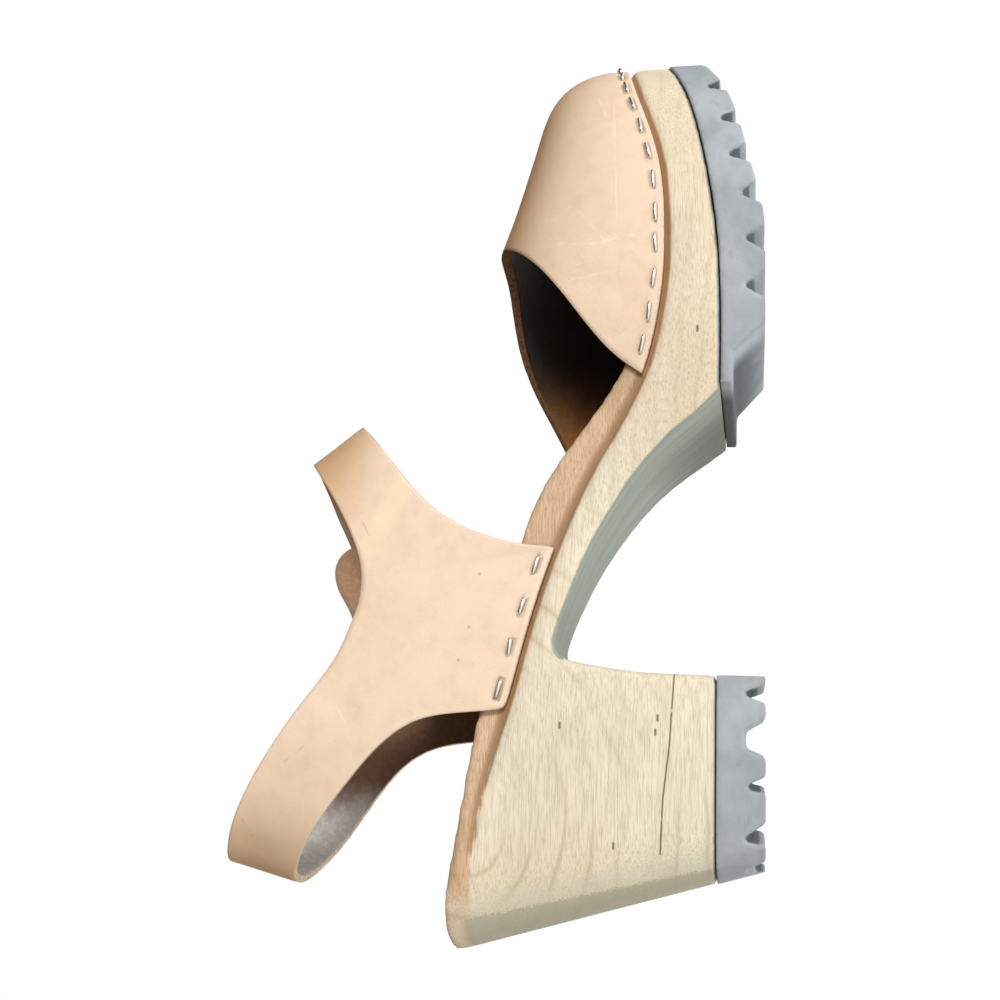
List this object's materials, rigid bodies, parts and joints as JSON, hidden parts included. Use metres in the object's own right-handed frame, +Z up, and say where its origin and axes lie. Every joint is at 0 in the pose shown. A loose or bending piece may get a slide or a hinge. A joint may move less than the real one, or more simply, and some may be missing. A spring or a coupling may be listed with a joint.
{
  "type": "closed-toe platform clog sandal",
  "caption": "Left platform clog sandal: wooden base with block heel, lugged rubber treads, stapled hollow leather vamp and an ankle strap joined by a press stud.",
  "frame": {"origin": "on the ground, under the middle of the shoe's box", "axes": "+X towards the toe, +Z up, the inner side of the foot at -Y"},
  "size_m": [0.2448, 0.0912, 0.1458],
  "materials": {
    "wood": "sanded pale wood with a thin satin oil finish",
    "tread_rubber": "matte blue-grey rubber",
    "leather": "smooth natural vegetable-tanned leather with raw edges and a suede inside",
    "steel": "bright steel wire"
  },
  "bodies": {
    "root": {"wood_base": "wood", "forefoot_tread": "tread_rubber", "heel_tread": "tread_rubber", "vamp": "leather", "ankle_upper": "leather", "snap_cap": "steel", "snap_socket": "steel", "staple_vamp_01": "steel", "staple_vamp_02": "steel", "staple_vamp_03": "steel", "staple_vamp_04": "steel", "staple_vamp_05": "steel", "staple_vamp_06": "steel", "staple_vamp_07": "steel", "staple_vamp_08": "steel", "staple_vamp_09": "steel", "staple_vamp_10": "steel", "staple_vamp_11": "steel", "staple_vamp_12": "steel", "staple_vamp_13": "steel", "staple_vamp_14": "steel", "staple_vamp_15": "steel", "staple_vamp_16": "steel", "staple_vamp_17": "steel", "staple_vamp_18": "steel", "staple_vamp_19": "steel", "staple_vamp_20": "steel", "staple_vamp_21": "steel", "staple_vamp_22": "steel", "staple_vamp_23": "steel", "staple_vamp_24": "steel", "staple_vamp_25": "steel", "staple_vamp_26": "steel", "staple_vamp_27": "steel", "staple_vamp_28": "steel", "staple_vamp_29": "steel", "staple_vamp_30": "steel", "staple_vamp_31": "steel", "staple_wing_inner_1": "steel", "staple_wing_inner_2": "steel", "staple_wing_inner_3": "steel", "staple_wing_inner_4": "steel", "staple_wing_outer_1": "steel", "staple_wing_outer_2": "steel", "staple_wing_outer_3": "steel", "staple_wing_outer_4": "steel"}
  },
  "joints": []
}
